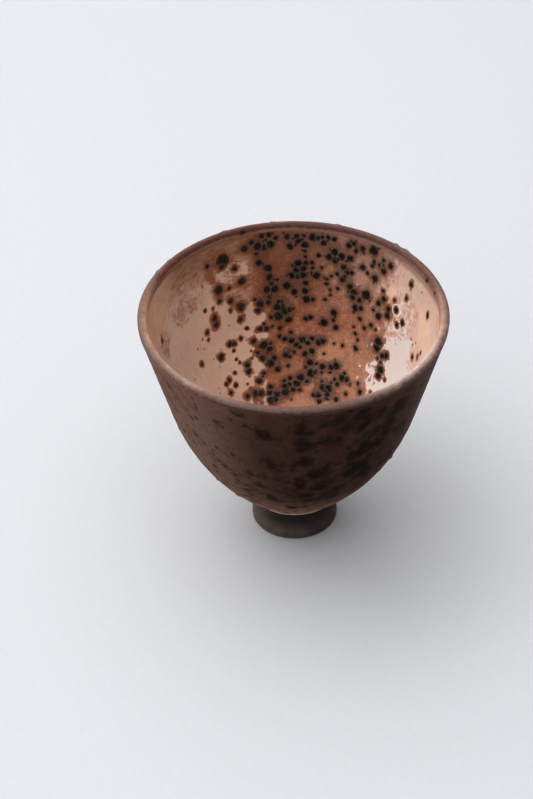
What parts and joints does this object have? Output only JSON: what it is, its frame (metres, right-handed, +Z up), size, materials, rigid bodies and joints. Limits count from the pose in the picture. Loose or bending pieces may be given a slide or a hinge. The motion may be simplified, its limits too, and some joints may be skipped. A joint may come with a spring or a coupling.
{
  "type": "footed cup",
  "caption": "Wheel-thrown stoneware cup with a flared bowl on a small foot ring, glazed inside and out with iron blisters.",
  "frame": {"origin": "centre of the foot ring, in the plane that it rests on", "axes": "+Z up along the cup's axis of turning; X and Y in the table plane, with the denser drift of blisters on the +Y side of the inside"},
  "size_m": [0.1, 0.1, 0.0865],
  "materials": {
    "stoneware": "matte fired clay",
    "foot_stoneware": "matte dark fired clay with turning lines",
    "slip": "matte",
    "inside_glaze": "satin, peach to rust over a pale ground, with raised near-black iron blisters",
    "outside_glaze": "satin red-brown with dark iron spots",
    "lip_glaze": "satin mauve-brown, thin over the edge"
  },
  "bodies": {
    "root": {"bowl": "stoneware", "foot": "foot_stoneware", "joining_slip": "slip", "inside_glaze": "inside_glaze", "outside_glaze": "outside_glaze", "lip_glaze": "lip_glaze"}
  },
  "joints": []
}
